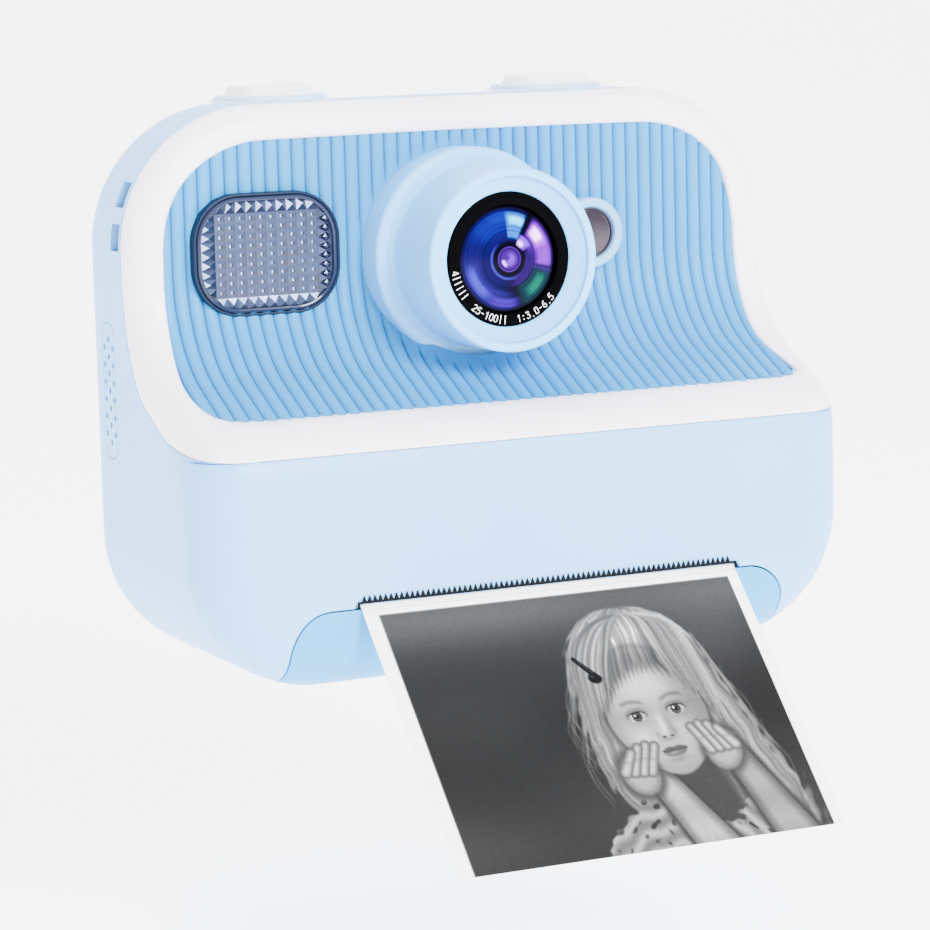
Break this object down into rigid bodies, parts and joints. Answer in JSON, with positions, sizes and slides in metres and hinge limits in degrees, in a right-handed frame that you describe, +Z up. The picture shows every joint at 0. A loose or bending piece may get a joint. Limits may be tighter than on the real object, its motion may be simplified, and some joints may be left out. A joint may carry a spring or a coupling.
{
  "type": "kids digital camera",
  "caption": "Rounded toy camera with a ribbed front, fixed lens, faceted flash, top buttons, a hinged paper door and a print hanging from a serrated slot.",
  "frame": {"origin": "centre of the flat underside that the camera stands on", "axes": "+X to the right seen from the front, +Y to the back (the lens looks along -Y), +Z up"},
  "size_m": [0.0988, 0.0768, 0.099],
  "materials": {
    "shell_blue": "satin, smooth",
    "panel_blue": "satin, ribbed",
    "door_blue": "satin",
    "bezel_blue": "satin",
    "white": "satin",
    "black": "matt",
    "black_gloss": "gloss",
    "lens_glass": "coated, clear",
    "flash_plastic": "clear, faceted",
    "mirror": "polished",
    "reflector": "polished",
    "led": "phosphor",
    "steel": "bright",
    "blade": "black, matt",
    "chassis": "matt",
    "gear": "natural",
    "rubber": "matt",
    "paper": "coated paper",
    "print": "printed coated paper",
    "card": "card",
    "board": "solder mask",
    "cell": "wrapped cell",
    "screen": "dark window"
  },
  "bodies": {
    "case": {"front_shell": "shell_blue", "rear_cover": "shell_blue", "trim_ring": "white", "ribbed_panel": "panel_blue", "lens_base": "shell_blue", "lens_barrel": "shell_blue", "lens_ridge_ring": "shell_blue", "lens_black_ring": "black_gloss", "lens_front_glass": "lens_glass", "lens_stage": "black", "lens_rear_element": "lens_glass", "lens_iris": "black", "sensor_module": "board", "flash_window": "flash_plastic", "flash_reflector": "reflector", "flash_led": "led", "mirror_bezel": "panel_blue", "mirror_disc": "mirror", "button_bezels": "bezel_blue", "top_switches": "black", "cutter_blade": "blade", "printer_chassis": "chassis", "print_head": "steel", "head_spring": "steel", "step_motor": "steel", "paper_web": "paper", "lcd_module": "black", "screen_window": "screen", "key_board": "board", "main_board": "board", "battery": "cell", "speaker": "black", "usb_port": "steel", "card_socket": "steel", "case_screws": "steel"},
    "left_button": {"button_left": "white"},
    "right_button": {"button_right": "white"},
    "door": {"paper_door": "door_blue"},
    "pinion": {"motor_pinion": "gear"},
    "idler": {"idler_gear": "gear"},
    "platen": {"platen_roller": "rubber", "platen_shaft": "steel", "platen_gear": "gear"},
    "roll": {"paper_core": "card", "paper_roll": "paper"},
    "stem": {"print_stem": "paper"},
    "print": {"print": "print"},
    "menu_key": {"key_menu": "white"},
    "left_key": {"key_left": "white"},
    "ok_key": {"key_ok": "white"},
    "right_key": {"key_right": "white"},
    "play_key": {"key_play": "white"}
  },
  "joints": [
    {"name": "left_button_press", "type": "slide", "parent": "case", "child": "left_button", "axis": [0, 0, -1], "range_m": [0, 0.0005], "stiffness_N_per_m": 300},
    {"name": "right_button_press", "type": "slide", "parent": "case", "child": "right_button", "axis": [0, 0, -1], "range_m": [0, 0.0005], "stiffness_N_per_m": 300},
    {"name": "door_hinge", "type": "hinge", "parent": "case", "child": "door", "pos_m": [0, 0.0075, 0.003], "axis": [1, 0, 0], "range_deg": [0, 80]},
    {"name": "platen_spin", "type": "hinge", "parent": "case", "child": "platen", "pos_m": [0, -0.01437, 0.01513], "axis": [1, 0, 0], "range_deg": [0, 143.5]},
    {"name": "idler_spin", "type": "hinge", "parent": "case", "child": "idler", "pos_m": [0, -0.00164, 0.02515], "axis": [1, 0, 0], "range_deg": [-72, 0]},
    {"name": "pinion_spin", "type": "hinge", "parent": "case", "child": "pinion", "pos_m": [0, 0.0092, 0.03368], "axis": [1, 0, 0], "range_deg": [0, 258]},
    {"name": "roll_spin", "type": "hinge", "parent": "case", "child": "roll", "pos_m": [0, 0.0035, 0.0155], "axis": [1, 0, 0], "range_deg": [0, 46]},
    {"name": "print_feed", "type": "slide", "parent": "case", "child": "stem", "axis": [0, -0.6871, -0.7266], "range_m": [0, 0.01]},
    {"name": "print_bend", "type": "hinge", "parent": "stem", "child": "print", "pos_m": [0, -0.02407, 0.01074], "axis": [1, 0, 0], "range_deg": [-80, 25], "stiffness_Nm_per_rad": 0.002},
    {"name": "menu_key_press", "type": "slide", "parent": "case", "child": "menu_key", "axis": [0, -1, 0], "range_m": [0, 0.0007], "stiffness_N_per_m": 300},
    {"name": "left_key_press", "type": "slide", "parent": "case", "child": "left_key", "axis": [0, -1, 0], "range_m": [0, 0.0007], "stiffness_N_per_m": 300},
    {"name": "ok_key_press", "type": "slide", "parent": "case", "child": "ok_key", "axis": [0, -1, 0], "range_m": [0, 0.0007], "stiffness_N_per_m": 300},
    {"name": "right_key_press", "type": "slide", "parent": "case", "child": "right_key", "axis": [0, -1, 0], "range_m": [0, 0.0007], "stiffness_N_per_m": 300},
    {"name": "play_key_press", "type": "slide", "parent": "case", "child": "play_key", "axis": [0, -1, 0], "range_m": [0, 0.0007], "stiffness_N_per_m": 300}
  ],
  "couplings": [
    {"joint": "platen_spin", "follows": "print_feed", "rad_per_m": 250},
    {"joint": "idler_spin", "follows": "print_feed", "rad_per_m": -125},
    {"joint": "pinion_spin", "follows": "print_feed", "rad_per_m": 450},
    {"joint": "roll_spin", "follows": "print_feed", "rad_per_m": 80}
  ]
}
